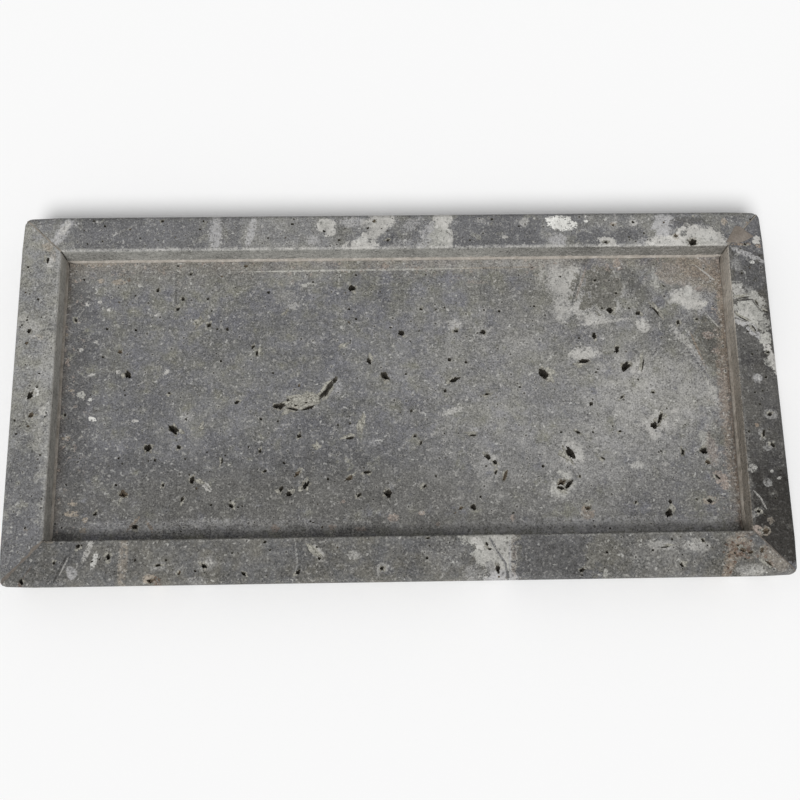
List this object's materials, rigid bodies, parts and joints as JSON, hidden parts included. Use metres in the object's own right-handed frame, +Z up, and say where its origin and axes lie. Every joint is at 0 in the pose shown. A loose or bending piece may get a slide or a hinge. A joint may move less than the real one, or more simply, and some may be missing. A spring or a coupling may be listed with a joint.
{
  "type": "gongfu tea tray",
  "caption": "Shallow rectangular stone tea tray: a flat floor slab framed by a raised rim of mitred stone strips, on small round pads.",
  "frame": {"origin": "centre of the bounding box in plan, at the level that the feet stand on", "axes": "+Z up, +X along the tray's length to its right-hand end, +Y to its back edge; the pictured view looks along +Y and down"},
  "size_m": [0.4, 0.1986, 0.025],
  "materials": {
    "floor_stone": "honed grey travertine with open pits",
    "front_stone": "honed grey travertine with a white calcite vein",
    "left_stone": "honed light grey travertine",
    "back_stone": "honed grey travertine with white calcite patches",
    "right_stone": "honed dark grey travertine with pale calcite",
    "filler": "tan stone-coloured resin, rubbed back flush",
    "foot": "matt black foamed rubber pad"
  },
  "bodies": {
    "root": {"floor_slab": "floor_stone", "front_rim_strip": "front_stone", "left_rim_strip": "left_stone", "back_rim_strip": "back_stone", "right_rim_strip": "right_stone", "front_left_mitre_resin": "filler", "front_right_mitre_resin": "filler", "back_right_mitre_resin": "filler", "back_left_mitre_resin": "filler", "front_floor_seam": "filler", "right_floor_seam": "filler", "back_floor_seam": "filler", "left_floor_seam": "filler", "back_right_corner_fill": "filler", "front_left_foot": "foot", "front_right_foot": "foot", "back_right_foot": "foot", "back_left_foot": "foot"}
  },
  "joints": []
}
